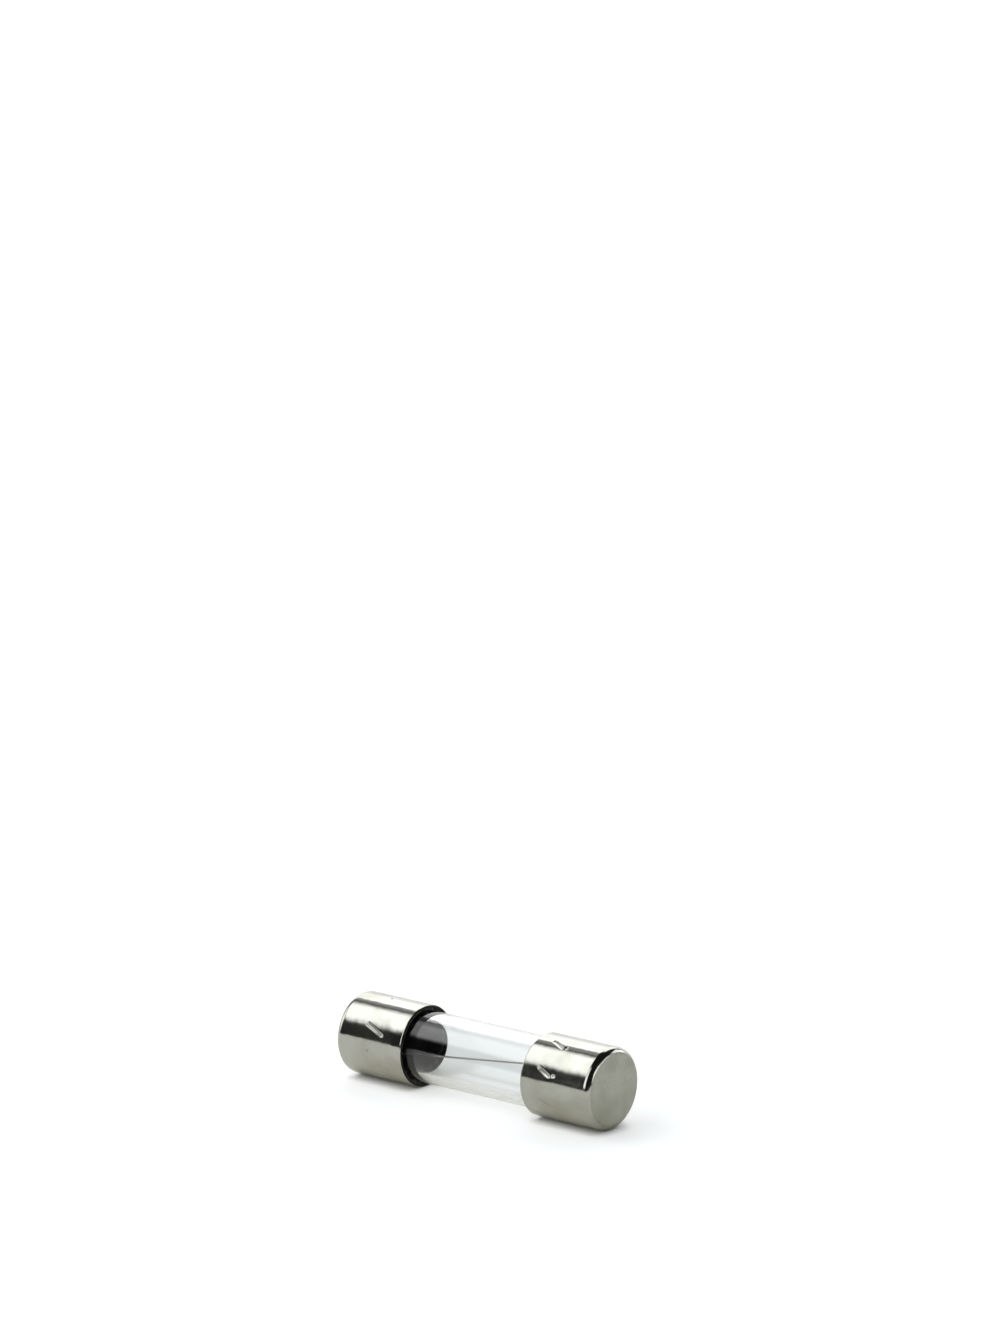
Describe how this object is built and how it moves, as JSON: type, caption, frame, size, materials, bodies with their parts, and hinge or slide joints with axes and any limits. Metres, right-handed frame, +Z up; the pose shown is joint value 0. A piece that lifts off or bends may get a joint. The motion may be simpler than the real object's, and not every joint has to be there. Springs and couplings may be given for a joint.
{
  "type": "cartridge fuse",
  "caption": "Glass cartridge fuse: a fine wire soldered into plated end caps runs through a clear tube, and melts to cut an overcurrent.",
  "frame": {"origin": "centre of the fuse, on its axis and halfway between the outer ends of the caps", "axes": "+X along the fuse's axis towards the right cap, +Z up as it lies on a table, +Y away from the viewer"},
  "size_m": [0.02, 0.0052, 0.0052],
  "materials": {
    "clear_glass": "clear drawn glass with flame-polished rims",
    "nickel_plate": "bright nickel plating on drawn brass, a little satin on the flat ends",
    "tinned_wire": "bright tinned wire",
    "solder": "soft grey solder, satin",
    "adhesive": "dark epoxy film"
  },
  "bodies": {
    "root": {"glass_tube": "clear_glass", "left_cap": "nickel_plate", "right_cap": "nickel_plate", "fuse_wire": "tinned_wire", "left_solder": "solder", "right_solder": "solder", "left_adhesive": "adhesive", "right_adhesive": "adhesive"}
  },
  "joints": []
}
